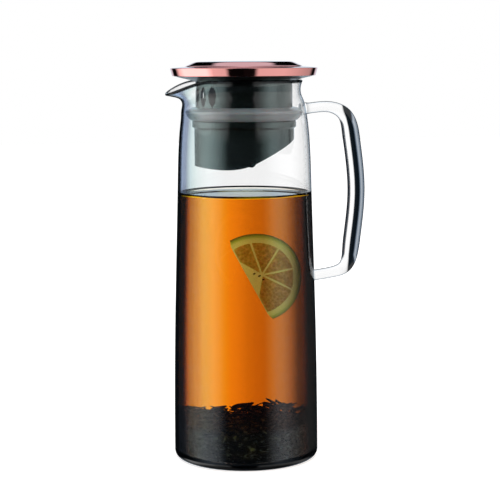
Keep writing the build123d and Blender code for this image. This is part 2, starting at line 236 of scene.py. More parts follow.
# Tea: fills the body to its surface, with a rim that climbs the glass
tea = {
    "surface": 185.0, "overlap": 0.12, "climb": 2.2, "climbReach": 3.2, "around": 240,
    "glowFrom": 24.0, "glowFade": 5.0, "glowHalf": 46.0,
    # painted light and shade: share of the way from left to right, with the red and the green painted there
    "paintedGlow": [
        (0.0, 1.0, 0.5), (0.10, 0.9, 0.5), (0.15, 0.68, 0.36), (0.21, 0.78, 0.6), (0.27, 1.0, 0.67),
        (0.333, 1.0, 0.53), (0.393, 0.96, 0.32), (0.454, 0.79, 0.23), (0.515, 0.55, 0.148),
        (0.576, 0.44, 0.105), (0.637, 0.42, 0.1), (0.698, 0.48, 0.184), (0.759, 0.42, 0.19),
        (0.82, 0.27, 0.09), (0.88, 0.06, 0.022), (0.94, 0.02, 0.008)],
    # painted shade: facing from straight on to edge on, with the red, green and blue painted at the edge of
    # the brew
    "sides": [
        (0.1, 1.0, 1.0, 1.0), (0.12, 0.9, 0.8, 0.7), (0.161, 0.48, 0.27, 0.2), (0.174, 0.46, 0.22, 0.12),
        (0.189, 0.38, 0.07, 0.03), (0.204, 0.05, 0.006, 0.003), (0.218, 0.001, 0.0005, 0.0005)],
}


# Materials

# Painted shade on the glass edges, blended between the painted left edge and the painted right edge
edgeBlend = 24.0  # the tones of the left edge change into those of the right one this far round the axis


# Share of the way from left to right, as the camera sees it, between half to the left and half to the right
def sideShare(add, shape, half):
    across = add("VectorMath", settings=dotProduct, values={1: towardsRight},
                 links={0: shape.outputs["Position"]})
    return add("MapRange", links={"Value": across.outputs["Value"]},
               values={"From Min": -half * mm, "From Max": half * mm})


def clearGlass(name, look):
    # Borosilicate glass, blown and fire polished: clear, with painted shade and a faint blue painted
    # reflection where it is seen edge on
    material, add, onPiece = startMaterial(name)
    facing = add("LayerWeight", values={"Blend": 0.5})
    shape = add("NewGeometry")
    fromLeft = sideShare(add, shape, edgeBlend)
    # Painted shade: the left edge is painted broad and black and the right one as a thin line, standing in
    # for a room that is darker on the left
    edges = [add("ValToRGB", links={"Fac": facing.outputs["Facing"]}, stops=look[side])
             for side in ("leftPaintedEdge", "rightPaintedEdge")]
    edge = add("Mix", settings=colourMix, links={"Factor": fromLeft, 6: edges[0], 7: edges[1]})
    # The painted shade of the rim and the base is read from a mark on the mesh
    mark = add("Attribute", settings={"attribute_name": look["mark"]})
    shade = add("ValToRGB", links={"Fac": mark.outputs["Fac"]}, stops=look["markStops"])
    entering = add("Mix", settings=colourMultiply,
                   values={"Factor": 1.0}, links={6: edge.outputs[2], 7: shade})
    tint = add("Mix", settings=colourMix, values={7: grey(1.0)},
               links={"Factor": shape.outputs["Backfacing"], 6: entering.outputs[2]})
    waves = add("TexNoise", values={"Scale": 1 / (36 * mm), "Detail": 1.0}, links={"Vector": onPiece})
    bump = add("Bump", values={"Strength": 0.25, "Distance": 0.0002}, links={"Height": waves})
    glass = add("BsdfPrincipled", links={"Base Color": tint.outputs[2], "Normal": bump}, values={
        "Roughness": 0.0, "IOR": 1.47, "Transmission Weight": 1.0, "Specular IOR Level": look["specular"]})
    add("OutputMaterial", links={"Surface": clearShadow(add, glass, grey(0.92))})
    return material


def blackTea():
    # Infused black tea: clear amber that drinks up blue and green over its depth, with painted shade at the
    # sides
    material, add = startMaterial("blackTeaInfusion")[:2]
    facing = add("LayerWeight", values={"Blend": 0.5})
    # Painted shade: the brew darkens to black where it is seen edge on
    sides = add("ValToRGB", links={"Fac": facing.outputs["Facing"]},
                stops=[(place, (red, green, blue, 1.0)) for place, red, green, blue in tea["sides"]])
    shape = add("NewGeometry")
    share = sideShare(add, shape, tea["glowHalf"])
    # Painted light and shade: the brew is painted glowing on the left, as if lit from behind there, and
    # sinking to brown on the right
    paintedGlow = add("ValToRGB", links={"Fac": share},
               stops=[(place, (red, green, 0.6 * green, 1.0)) for place, red, green in tea["paintedGlow"]])
    place = add("SeparateXYZ", links={0: shape.outputs["Position"]})
    # Below the heap's top the painted glow gives way to an even grey
    overHeap = add("MapRange", links={"Value": place.outputs["Z"]}, values={
        "From Min": tea["glowFrom"] * mm, "From Max": (tea["glowFrom"] + tea["glowFade"]) * mm})
    glowing = add("Mix", settings=colourMix, values={6: grey(0.8)}, links={"Factor": overHeap, 7: paintedGlow})
    tint = add("Mix", settings=colourMultiply,
               values={"Factor": 1.0}, links={6: sides, 7: glowing.outputs[2]})
    entering = add("Mix", settings=colourMix, values={7: grey(1.0)},
                   links={"Factor": shape.outputs["Backfacing"], 6: tint.outputs[2]})
    side = add("BsdfPrincipled", links={"Base Color": entering.outputs[2]}, values={
        "Roughness": 0.0, "IOR": 1.333, "Transmission Weight": 1.0, "Specular IOR Level": 0.0})
    # From above the brew shows its amber; at a flat angle its surface is painted pale blue, a painted
    # reflection of the room
    skin = add("ValToRGB", links={"Fac": facing.outputs["Facing"]}, stops=[
        (0.0, grey(1.0)), (0.6, grey(1.0)), (0.82, linearColour("#5c74a0")), (1.0, linearColour("#405a8c"))])
    top = add("BsdfPrincipled", values={"Roughness": 0.0, "IOR": 1.333, "Transmission Weight": 1.0},
              links={"Base Color": skin})
    upwards = add("SeparateXYZ", links={0: shape.outputs["Normal"]})
    flat = add("Math", settings=above, values={1: 0.3}, links={0: upwards.outputs["Z"]})
    liquid = add("MixShader", links={0: flat, 1: side, 2: top})
    depth = add("VolumeAbsorption", values={"Color": (0.999, 0.85, 0.0, 1.0), "Density": 66.0})
    add("OutputMaterial",
        links={"Surface": clearShadow(add, liquid, linearColour("#ffdca0")), "Volume": depth})
    return material


# Metal with fine marks along one direction, which change its gloss, its tone and a little its surface
def markedMetal(name, look):
    material, add, onPiece = startMaterial(name)
    stretch = add("Mapping", values={"Scale": look["stretch"]}, links={"Vector": onPiece})
    marks = add("TexNoise", values={"Scale": look["scale"], "Detail": 3.0}, links={"Vector": stretch})
    gloss = add("MapRange", links={"Value": marks},
                values={"To Min": look["gloss"][0], "To Max": look["gloss"][1]})
    tone = add("Mix", settings=colourMix, links={"Factor": marks},
               values={6: linearColour(look["tones"][0]), 7: linearColour(look["tones"][1])})
    links = {"Base Color": tone.outputs[2], "Roughness": gloss}
    if "relief" in look:
        links["Normal"] = add("Bump", values={"Strength": 0.04, "Distance": look["relief"] * mm},
                              links={"Height": marks})
    metal = add("BsdfPrincipled", values={"Metallic": 1.0}, links=links)
    add("OutputMaterial", links={"Surface": metal})
    return material


def mouldedPlastic(name, darkHex, lightHex, roughness, ior, grainSize, grainDepth):
    material, add, onPiece = startMaterial(name)
    cloud = add("TexNoise", values={"Scale": 1 / (12 * mm), "Detail": 2.0}, links={"Vector": onPiece})
    tone = add("Mix", settings=colourMix, links={"Factor": cloud},
               values={6: linearColour(darkHex), 7: linearColour(lightHex)})
    grain = add("TexNoise", values={"Scale": 1 / (grainSize * mm), "Detail": 2.0},
                links={"Vector": onPiece})
    bump = add("Bump", values={"Strength": 0.3, "Distance": grainDepth * mm}, links={"Height": grain})
    gloss = add("MapRange", values={"To Min": roughness * 0.8, "To Max": roughness * 1.2},
                links={"Value": grain})
    plastic = add("BsdfPrincipled", values={"IOR": ior},
                  links={"Base Color": tone.outputs[2], "Roughness": gloss, "Normal": bump})
    add("OutputMaterial", links={"Surface": plastic})
    return material, plastic


# Light crosses one tinted face of a solid rod, and the shader takes the root of its tint there
def onceTinted(hexText):
    return [c * c for c in linearColour(hexText)[:3]] + [1.0]


noTint = [(0.0, grey(1.0)), (1.0, grey(1.0))]
# Painted shade that darkens the glass along the rim bead and over the base
rimAndBaseShadeStops = [(0.0, grey(1.0)), (0.6, onceTinted("#3a4046")), (1.0, onceTinted("#0b0d0f"))]
# Painted shade and painted reflection at the body's edges: a broad black edge with a pale blue band on the
# left, a thin dark line on the right
bodyGlass = clearGlass("borosilicateFirePolished", {
    "leftPaintedEdge": [(place, onceTinted(tone)) for place, tone in (
        (0.0, "#ffffff"), (0.2, "#f6fcfb"), (0.34, "#e4f2f1"), (0.42, "#d6e9ec"), (0.467, "#c2d2da"),
        (0.52, "#a8b6ca"), (0.58, "#aab9d4"), (0.654, "#b6c6e4"), (0.7, "#6a7a92"), (0.754, "#141c26"),
        (0.8, "#020a12"))],
    "rightPaintedEdge": [(place, onceTinted(tone)) for place, tone in (
        (0.72, "#ffffff"), (0.8, "#d8dce4"), (0.88, "#5a606c"), (0.93, "#c0c4cc"), (0.97, "#f0f2f6"))],
    "mark": "thickShare", "markStops": rimAndBaseShadeStops, "specular": 0.5})
# The inner side of the wall above the tea stays clear, only the outer side carries the painted edge shade
innerGlass = clearGlass("borosilicateInnerWall", {
    "leftPaintedEdge": noTint, "rightPaintedEdge": noTint, "mark": "thickShare", "markStops": rimAndBaseShadeStops, "specular": 0.3})
# Glass wetted by the tea hardly mirrors anything on that side
wettedGlass = clearGlass("borosilicateWetted", {
    "leftPaintedEdge": noTint, "rightPaintedEdge": noTint, "mark": "thickShare", "markStops": rimAndBaseShadeStops, "specular": 0.02})
# Painted shade and painted reflection: the handle's rod bends light more than the thin wall, so its outer
# half is painted with dark and blue-grey streaks and its edges with painted shade
paintedRodEdge = [(0.0, grey(1.0)), (0.46, grey(1.0)), (0.6, onceTinted("#eef4fa")), (0.72, onceTinted("#4a5058")),
           (0.84, onceTinted("#101418"))]
rodGlass = clearGlass("borosilicateRodDrawn", {
    "leftPaintedEdge": paintedRodEdge, "rightPaintedEdge": paintedRodEdge, "mark": "streak", "markStops": [
        (0.0, onceTinted("#20242a")), (0.06, onceTinted("#50565e")), (0.1, grey(1.0)), (0.24, grey(1.0)),
        (0.29, onceTinted("#121a20")), (0.5, onceTinted("#030a0f")), (0.57, onceTinted("#1b2935")),
        (0.62, onceTinted("#95a4b6")), (0.7, onceTinted("#e4effa")), (0.78, onceTinted("#b2c2d3")),
        (0.88, onceTinted("#8793a2")), (1.0, onceTinted("#49515b"))],
    "specular": 0.5})
teaMaterial = blackTea()
# Steel with a rose-copper coating, mirror polished: a clean pink mirror with hairline marks about 1 mm apart
copperMaterial = markedMetal("roseCopperSteelPolished", {
    "stretch": (1.0, 1.0, 12.0), "scale": 900.0, "gloss": (0.035, 0.075), "tones": ("#f0a19c", "#f6aca6"),
    "relief": 0.02})
# Stainless steel sheet, satin finished: soft grey metal with a fine grain 2.5 mm long
steelMaterial = markedMetal("stainlessSteelSatin", {
    "stretch": (1.0, 14.0, 1.0), "scale": 400.0, "gloss": (0.22, 0.38), "tones": ("#b9b9b6", "#d2d2ce")})
# Smoky SAN, injection moulded: grey green where light lies on it, black where it doesn't. Its IOR is more
# than the plastic's own 1.57, so that it mirrors the boxes as brightly as the photo shows
smokyMaterial, smokyShader = mouldedPlastic("sanSmokyMoulded", "#090d0d", "#0f1514", 0.14, 2.25, 3.0, 0.004)
smokyShader.inputs["Specular Tint"].default_value = linearColour("#c8e8e4")
# Black ABS core of the lid, moulded with a low gloss
darkMaterial = mouldedPlastic("absBlackMoulded", "#0b0c0c", "#121414", 0.3, 1.5, 0.6, 0.01)[0]
# Food silicone, moulded: milky grey with a satin skin, mirroring brightly like the smoky plastic
siliconeMaterial, siliconeShader = mouldedPlastic(
    "siliconeMilkyMoulded", "#8d9597", "#9fa7a9", 0.2, 2.1, 0.8, 0.01)
for name, value in (("Transmission Weight", 0.35), ("Subsurface Weight", 0.4), ("Subsurface Scale", 0.004)):
    siliconeShader.inputs[name].default_value = value
# Nitrile rubber of the O-ring: dull black
rubberMaterial = mouldedPlastic("nitrileMoulded", "#0e0e0e", "#181818", 0.55, 1.52, 0.5, 0.01)[0]
print("materials made")

# Glass body: one wall from the middle of the base over the rim and back to the middle
carafe = {
    "baseRadius": 50.35, "baseCorner": 5.0, "floor": 4.0, "wall": 1.8,
    "waistRadius": 48.9, "waistHeight": 108.0,
    "upperRadius": 46.35, "upperBelowRim": 70.8,
    "shoulderRadius": 43.8, "shoulderBelowRim": 27.6, "shoulderLean": 0.13,
    "neckRadius": 39.0, "neckBelowRim": 7.0, "rimRadius": 40.3, "rimHeight": 263.8,
    "spoutReach": 54.7, "spoutDrop": 8.6, "spoutHalfAngle": 55.0, "spoutDipHalfAngle": 45.0,
    "around": 300,
}
shoulderHeight = carafe["rimHeight"] - carafe["shoulderBelowRim"]
neckHeight = carafe["rimHeight"] - carafe["neckBelowRim"]


def lowerWall(inset, floor, corner):
    start = floor + corner
    wall = smoothLine(
        [(carafe["baseRadius"] - inset, start), (carafe["waistRadius"] - inset, carafe["waistHeight"]),
         (carafe["upperRadius"] - inset, carafe["rimHeight"] - carafe["upperBelowRim"]),
         (carafe["shoulderRadius"] - inset, shoulderHeight)],
        80, (0, 1), (-carafe["shoulderLean"], 1))
    base = carafe["baseRadius"] - inset - corner
    bend = [(base + corner * math.sin(t * math.pi / 24), start - corner * math.cos(t * math.pi / 24))
            for t in range(12)]
    flat = [(base * k / 16, floor) for k in range(16)]
    return flat + bend + wall


def upperMiddleLine(reach, dip):
    half = carafe["wall"] / 2
    rimEnd = carafe["rimHeight"] - half
    tipHeight = rimEnd - carafe["spoutDrop"]
    neck, tip = carafe["neckRadius"] - half, carafe["spoutReach"] - half
    shoulder = (carafe["shoulderRadius"] - half, shoulderHeight)
    plain = [shoulder, (neck + 3.1, neckHeight - 10.6), (neck + 2.0, neckHeight - 7.0),
             (neck + 0.75, neckHeight - 4.1), (neck, neckHeight - 0.3), (neck + 0.3, neckHeight + 3.2),
             (carafe["rimRadius"] - half, rimEnd)]
    spout = [shoulder, (neck + 4.3, tipHeight - 10.8), (neck + 3.8, tipHeight - 6.8),
             (neck + 5.3, tipHeight - 3.3), (tip - 8.0, tipHeight - 1.8), (tip - 5.2, tipHeight - 1.0),
             (tip, tipHeight)]
    knots = [(p[0] + reach * (s[0] - p[0]), p[1] + dip * (s[1] - p[1])) for p, s in zip(plain, spout)]
    return smoothLine(knots, 48, (-carafe["shoulderLean"], 1))


def bell(angle, halfAngle):
    return 0.0 if abs(angle) >= halfAngle else math.cos(math.radians(90 * angle / halfAngle)) ** 2


def makeCarafe():
    half = carafe["wall"] / 2
    outerLow = lowerWall(0, 0, carafe["baseCorner"])
    innerLow = lowerWall(carafe["wall"], carafe["floor"], carafe["baseCorner"] - carafe["wall"])
    rows, rimAndBaseShade = [], []
    for k in range(carafe["around"]):
        angle = 360 * k / carafe["around"]
        fromSpout = (angle + 180) % 360 - 180
        reach, dip = (bell(fromSpout, carafe[name]) for name in ("spoutHalfAngle", "spoutDipHalfAngle"))
        middle = upperMiddleLine(reach, dip)
        outer = offsetLine(middle, half)
        inner = offsetLine(middle, -half)
        along = Vector(middle[-1]) - Vector(middle[-2])
        along.normalize()
        across = Vector((along.y, -along.x))
        rim = []
        for t in range(1, 10):
            spoke = math.cos(t * math.pi / 10) * across + math.sin(t * math.pi / 10) * along
            rim.append(tuple(Vector(middle[-1]) + half * spoke))
        section = outerLow[:-1] + outer + rim + inner[::-1] + innerLow[-2::-1]
        turn = math.radians(180 + angle)
        rows.append([(r * math.cos(turn), r * math.sin(turn), z) for r, z in section])
        # Painted shade mark: up to 0.75 along the rim bead and 1 over the thick base
        fromRim = [math.dist(point, middle[-1]) for point in section]
        rimAndBaseShade.append([
            max(0.0, 0.75 * min(1.0, (1.7 - away) / 0.7), min(1.0, (carafe["floor"] + 2.5 - z) / 2.0))
            for away, (r, z) in zip(fromRim, section)
        ])
    mesh = skinMesh("carafeGlass", rows, closedRow=False, closedRows=True, marks={"thickShare": rimAndBaseShade})
    addPiece("carafeGlass", mesh, bodyGlass, "jug", ["carafe"])
    mesh.materials.append(wettedGlass)
    mesh.materials.append(innerGlass)
    for face in mesh.polygons:
        outwards = Vector((face.center.x, face.center.y, 0)).dot(face.normal)
        low = face.center.z < (tea["surface"] + tea["climb"]) * mm
        onFloor = face.normal.z > 0.7 and face.center.z > carafe["floor"] / 2 * mm
        if low and (outwards < 0 or onFloor):
            face.material_index = 1
        elif outwards < 0:
            face.material_index = 2


makeCarafe()
print("carafe made")

handle = {
    "armHeight": 7.4, "armWidth": 11.0, "gripDepth": 12.0, "gripWidth": 13.5,
    "gripReach": 86.3, "gripBow": 3.8, "topArmBelowRim": 19.6, "height": 117.5,
    "corner": 17.5, "cornerCut": 9.0, "root": 1.2, "armShare": 0.08, "swellShare": 0.2,
    "gobLength": 5.0, "gobSwell": 0.24, "paintedStreakStart": 0.14, "paintedStreakFade": 0.08, "clearMark": 0.17,
    "around": 64, "along": 220,
}


def makeHandle():
    middle = handle["gripReach"] - handle["gripDepth"] / 2
    top = carafe["rimHeight"] - handle["topArmBelowRim"]
    low = top - handle["height"]
    armEnd, corner = middle - handle["corner"], middle - handle["cornerCut"]
    bowed = middle - handle["gripBow"]
    path = smoothLine(
        [(carafe["shoulderRadius"] - handle["root"], top - handle["armHeight"] / 12),
         (armEnd, top), (corner, top - handle["cornerCut"] / 2),
         (bowed, top - handle["height"] / 6), (middle, top - handle["height"] / 2),
         (bowed, low + handle["height"] / 6), (corner, low + handle["cornerCut"] / 2),
         (armEnd, low + handle["armHeight"] / 5),
         (carafe["upperRadius"] + 1.0 - handle["root"], low - handle["armHeight"] / 12)],
        handle["along"], (1, 0.05), (-1, -0.1))
    rows, paintedRodStreaks = [], []
    last = len(path) - 1
    lengths = np.concatenate([[0], np.cumsum([math.dist(a, b) for a, b in zip(path, path[1:])])])
    for i, (x, z) in enumerate(path):
        x0, z0 = path[max(i - 1, 0)]
        x1, z1 = path[min(i + 1, last)]
        size = math.hypot(x1 - x0, z1 - z0)
        outX, outZ = -(z1 - z0) / size, (x1 - x0) / size
        t = lengths[i] / lengths[-1]
        nearEnd = min(t, 1 - t)
        pastArm = nearEnd - handle["armShare"]
        share = 0.0 if pastArm < 0 else 1 - bell(pastArm, handle["swellShare"])
        fromEnd = min(lengths[i], lengths[-1] - lengths[i])
        gob = 1 + handle["gobSwell"] * max(0.0, 1 - fromEnd / handle["gobLength"]) ** 2
        depth = gob * (handle["armHeight"] + (handle["gripDepth"] - handle["armHeight"]) * share) / 2
        width = gob * (handle["armWidth"] + (handle["gripWidth"] - handle["armWidth"]) * share) / 2
        row, streak = [], []
        # Painted shade and painted reflection: streaks down the rod's outer side, faded in from the arms
        gripShare = max(0.0, min(1.0, (nearEnd - handle["paintedStreakStart"]) / handle["paintedStreakFade"]))
        for k in range(handle["around"]):
            turn = 2 * math.pi * k / handle["around"]
            reach = depth * math.cos(turn)
            row.append((x + outX * reach, width * math.sin(turn), z + outZ * reach))
            streak.append(handle["clearMark"] + gripShare * (0.33 + 0.5 * math.cos(turn)))
        rows.append(row)
        paintedRodStreaks.append(streak)
    ends = []
    for end in (rows[0], rows[-1]):
        ends.append([tuple(sum(p[c] for p in end) / len(end) for c in range(3))] * len(end))
    rows = [ends[0]] + rows + [ends[1]]
    paintedRodStreaks = [paintedRodStreaks[0]] + paintedRodStreaks + [paintedRodStreaks[-1]]
    mesh = skinMesh("handleGlass", rows, closedRow=True, marks={"streak": paintedRodStreaks})
    addPiece("handleGlass", mesh, rodGlass, "jug", ["handle"])


makeHandle()
print("handle made")


def wallRadiusAt(line, height):
    for (r0, z0), (r1, z1) in zip(line, line[1:]):
        if z0 <= height <= z1 and z1 > z0:
            return r0 + (r1 - r0) * (height - z0) / (z1 - z0)
    return line[-1][0]


innerWall = lowerWall(carafe["wall"], carafe["floor"], carafe["baseCorner"] - carafe["wall"])


def makeTea():
    top = tea["surface"] + tea["climb"]
    side = []
    for r, z in innerWall:
        if z < top:
            side.append((r + tea["overlap"] if r > 1 else r, z - (tea["overlap"] if z < 10 else 0)))
    edge = wallRadiusAt(innerWall, top) + tea["overlap"]
    rim = []
    for k in range(13):
        inwards = tea["climbReach"] * k / 12
        rim.append((edge - inwards, tea["surface"] + tea["climb"] * (1 - k / 12) ** 3))
    flat = [((edge - tea["climbReach"]) * (1 - k / 16), tea["surface"]) for k in range(1, 17)]
    mesh = latheMesh("teaBody", side + rim + flat, tea["around"], closed=False)
    addPiece("teaBody", mesh, teaMaterial, "jug")


makeTea()
print("tea made")

# Heap of wet leaves on the floor of the glass, with a few tips that stand up from it
leaves = {
    "seed": 11, "heapTop": 28.5, "slope": 0.05, "count": 1500, "tips": 12,
    "length": (3.0, 9.0), "width": (1.2, 3.6), "thickness": 0.45, "wallGap": 0.7,
    "wallBand": (38.0, 45.0), "leafReach": 2.6, "tipReach": 8.0,
    "coreRadius": 41.0, "coreLift": 1.0, "coreSink": 4.0, "coreSteps": (0, 3, 7, 11, 15),
}


# Skin of a grown thing: one pattern gives its tones and another its relief
def grownSkin(add, tones, toneFrom, reliefFrom, strength, depth, values, glows=False):
    tone = add("ValToRGB", links={"Fac": toneFrom},
               stops=[(place, linearColour(hexText)) for place, hexText in tones])
    bump = add("Bump", values={"Strength": strength, "Distance": depth * mm},
               links={"Height": reliefFrom})
    links = {"Base Color": tone, "Normal": bump}
    if glows:
        links["Emission Color"] = tone
    skin = add("BsdfPrincipled", values=values, links=links)
    add("OutputMaterial", links={"Surface": skin})


def leafMaterial():
    # Black tea leaves, rolled, dried and wet again: near black, with small grey and green patches that are
    # partly their own colour and partly painted glints
    material, add, onPiece = startMaterial("teaLeafRolledWet")
    patches = add("TexNoise", values={"Scale": 1 / (4 * mm), "Detail": 4.0}, links={"Vector": onPiece})
    veins = add("TexNoise", values={"Scale": 1 / (0.9 * mm), "Detail": 2.0}, links={"Vector": onPiece})
    tones = ((0.4, "#0a0a0b"), (0.56, "#1a1c1e"), (0.64, "#3c4650"), (0.7, "#4e5a4a"), (0.8, "#6a7480"))
    grownSkin(add, tones, patches, veins, 0.6, 0.2, {
        "Roughness": 0.38, "IOR": 1.45, "Specular IOR Level": 0.03})
    return material


leafFinish = leafMaterial()


# One curled leaf, seven points long and five wide, with its underside and its edge
def addLeaf(target, chance, centre, turn):
    length = chance.uniform(*leaves["length"])
    width = chance.uniform(*leaves["width"]) / 2
    curl = chance.uniform(0.4, 2.6)
    bend = chance.uniform(-0.5, 0.5)
    upper = []
    for i in range(7):
        t = i / 6
        here = width * math.sin(math.pi * min(0.96, max(0.06, t))) ** 0.6
        radius = max(0.4, 2 * here / curl)
        for j in range(5):
            s = j / 4 - 0.5
            upper.append(Vector((length * (t - 0.5), radius * math.sin(curl * s),
                                 radius * (1 - math.cos(curl * s)) + bend * length * (t - 0.5) ** 2)))
    down = Vector((0, 0, leaves["thickness"]))
    over = [target.verts.new((turn @ point + centre) * mm) for point in upper]
    under = [target.verts.new((turn @ (point - down) + centre) * mm) for point in upper]
    for a in (i * 5 + j for i in range(6) for j in range(4)):
        target.faces.new((over[a], over[a + 1], over[a + 6], over[a + 5]))
        target.faces.new((under[a + 5], under[a + 6], under[a + 1], under[a]))
    ring = [*range(5), *range(9, 35, 5), *range(33, 29, -1), *range(25, 0, -5)]
    for a, b in zip(ring, ring[1:] + ring[:1]):
        target.faces.new((over[b], over[a], under[a], under[b]))


def heapHeight(x, y):
    across = x * towardsRight.x + y * towardsRight.y
    return (leaves["heapTop"] + leaves["slope"] * across + 1.3 * math.sin(across / 6.3 + 0.6)
            + 0.9 * math.sin(across / 2.6 + y / 9.0))


def keepInside(centre, reach):
    radius = math.hypot(centre.x, centre.y)
    most = wallRadiusAt(innerWall, max(centre.z, carafe["floor"] + 4)) - leaves["wallGap"] - reach
    if radius > most:
        centre.x *= most / radius
        centre.y *= most / radius
    return centre


def addLeaves(name, chance, places):
    grown = bmesh.new()
    for centre, reach, turn in places:
        addLeaf(grown, chance, keepInside(centre, reach), turn)
    mesh = bpy.data.meshes.new(name)
    grown.to_mesh(mesh)
    grown.free()
    addPiece(name, mesh, leafFinish, "jug")


# Every third leaf lies on top, the others fill the heap along the wall
def heapPlaces(chance):
    for k in range(leaves["count"]):
        around = chance.uniform(0, 2 * math.pi)
        onTop = k % 3 == 0
        nearest, farthest = leaves["wallBand"]
        radius = farthest * math.sqrt(chance.random()) if onTop else chance.uniform(nearest, farthest)
        x, y = radius * math.cos(around), radius * math.sin(around)
        top = heapHeight(x, y)
        z = top + chance.uniform(-1.5, 2.5) if onTop else chance.uniform(carafe["floor"] + 2.5, top)
        tilt = chance.uniform(-0.7, 0.7)
        turn = (Matrix.Rotation(around + math.pi / 2 + chance.uniform(-0.5, 0.5), 3, "Z")
                @ Matrix.Rotation(tilt, 3, "Y") @ Matrix.Rotation(chance.uniform(0, 6.28), 3, "X"))
        yield Vector((x, y, z)), leaves["leafReach"], turn


# A few long leaves lie on the heap with a tip in the air
def tipPlaces(chance):
    for k in range(leaves["tips"]):
        sideways, forward = chance.uniform(-38, 40), chance.uniform(4, 30)
        centre = towardsRight * sideways - awayFromEye * forward
        centre.z = heapHeight(centre.x, centre.y) + chance.uniform(0.5, 2.2)
        turn = (Matrix.Rotation(shotTurn + chance.uniform(-0.8, 0.8), 3, "Z")
                @ Matrix.Rotation(chance.uniform(-0.7, 0.7), 3, "Y") @ Matrix.Rotation(1.3, 3, "X"))
        yield centre, leaves["tipReach"], turn


# Dark middle of the heap, a lumpy mound that the leaves lie on
def makeHeapCore():
    rows = []
    rings = 26
    radius, base = leaves["coreRadius"], carafe["floor"] + leaves["coreLift"]
    for k in range(96):
        turn = 2 * math.pi * k / 96
        row = [(0, 0, base)]
        x, y = radius * math.cos(turn), radius * math.sin(turn)
        row += [(x, y, base + step) for step in leaves["coreSteps"]]
        for i in range(rings + 1):
            here = radius * (1 - i / rings)
            x, y = here * math.cos(turn), here * math.sin(turn)
            lumps = 0.8 * math.sin(x * 1.7) * math.sin(y * 1.9)
            row.append((x, y, heapHeight(x, y) - leaves["coreSink"] + lumps))
        rows.append(row)
    mesh = skinMesh("heapCore", rows, closedRow=False, closedRows=True)
    addPiece("heapCore", mesh, leafFinish, "jug")


leafChance = random.Random(leaves["seed"])
addLeaves("leafHeap", leafChance, heapPlaces(leafChance))
addLeaves("leafTips", leafChance, tipPlaces(leafChance))
makeHeapCore()
print("leaves made")

# A little more than half a slice of lemon, standing in the tea near the front
lemon = {
    "radius": 30.0, "thickness": 5.0, "rind": 1.9, "pith": 3.9, "cut": -4.5, "membrane": 0.55,
    "right": 6.75, "forward": 27.0, "height": 130.5, "lean": 25.6, "turn": 6.0,
    "core": (4.0, 0.5), "membranes": (81.7, 33.4, -15.1, -54.3), "ends": (122.0, -125.0),
    "pips": ((0.2, 3.4), (2.4, 0.6), (3.5, -2.6)), "pipLength": 0.9, "pipWidth": 0.5,
}


def lemonMaterials():
    # Lemon peel: waxy yellow green with pores, paler pith under it. The colours are cooler than a lemon's,
    # because the tea in front of them takes up the blue. A faint glow stands for light that comes from behind
    peel, add, onPiece = startMaterial("lemonPeelCut")
    distance = add("VectorMath", settings={"operation": "LENGTH"}, links={0: onPiece})
    share = add("MapRange", links={"Value": distance.outputs["Value"]}, values={
        "From Min": (lemon["radius"] - lemon["rind"] - lemon["pith"]) * mm, "From Max": lemon["radius"] * mm})
    pores = add("TexVoronoi", values={"Scale": 1 / (1.1 * mm)}, links={"Vector": onPiece})
    tones = ((0.0, "#b8f0d8"), (0.5, "#a8e4b8"), (0.7, "#8cc878"), (0.9, "#6ca050"), (1.0, "#4a6a30"))
    grownSkin(add, tones, share, pores, 0.35, 0.15, {
        "Roughness": 0.35, "IOR": 1.45, "Emission Strength": 0.42,
        "Subsurface Weight": 0.2, "Subsurface Scale": 0.003}, glows=True)
    # Lemon flesh: wet juice sacs, drawn 2 mm apart, that let light through
    flesh, add, onPiece = startMaterial("lemonFleshWet")
    sacs = add("TexVoronoi", values={"Scale": 1 / (2.0 * mm)}, links={"Vector": onPiece})
    grownSkin(add, ((0.0, "#9cae7c"), (0.5, "#b4cc98"), (1.0, "#d4ecc0")), sacs, sacs, 0.5, 0.3, {
        "Roughness": 0.25, "IOR": 1.36, "Subsurface Weight": 0.5, "Subsurface Scale": 0.006})
    return peel, flesh


peelMaterial, fleshMaterial = lemonMaterials()


def lemonPlace():
    middle = towardsRight * lemon["right"] - awayFromEye * lemon["forward"] + Vector((0, 0, lemon["height"]))
    facing = -awayFromEye
    upright = Matrix((towardsRight, Vector((0, 0, 1)), facing)).transposed().to_4x4()
    return (Matrix.Translation(middle * mm) @ upright @ Matrix.Rotation(math.radians(lemon["turn"]), 4, "Y")
            @ Matrix.Rotation(math.radians(lemon["lean"]), 4, "Z"))


# Flat slab with rounded edges over an outline
def slabMesh(name, outline, thickness, rounding):
    count = len(outline)
    middle = Vector((sum(p[0] for p in outline) / count, sum(p[1] for p in outline) / count))
    lower = [(None, -thickness / 2)]
    for k in range(5):
        sine, cosine = math.sin(math.pi * k / 8), math.cos(math.pi * k / 8)
        lower.append((rounding * (1 - sine), rounding * (1 - cosine) - thickness / 2))
    rows = []
    for inset, height in lower + [(inset, -height) for inset, height in reversed(lower)]:
        row = []
        for x, y in outline:
            spoke = Vector((x, y)) - middle
            reach = 0.0 if inset is None else max(0.0, spoke.length - inset)
            here = middle + spoke.normalized() * reach
            row.append((here.x, here.y, height))
        rows.append(row)
    return skinMesh(name, rows, closedRow=True)


# Outline of what lies on the round side of the straight cut, as a fan of rays from a point
def sliceOutline(centre, radius, cut, start, end, steps):
    line = []
    for k in range(steps + 1):
        angle = math.radians(start + (end - start) * k / steps)
        ray = Vector((math.cos(angle), math.sin(angle)))
        along = -centre.dot(ray)
        far = along + math.sqrt(max(0.0, along * along - centre.dot(centre) + radius * radius))
        if ray.x < -0.001:
            far = min(far, (cut - centre.x) / ray.x)
        line.append(tuple(centre + ray * max(far, 0.0)))
    return line


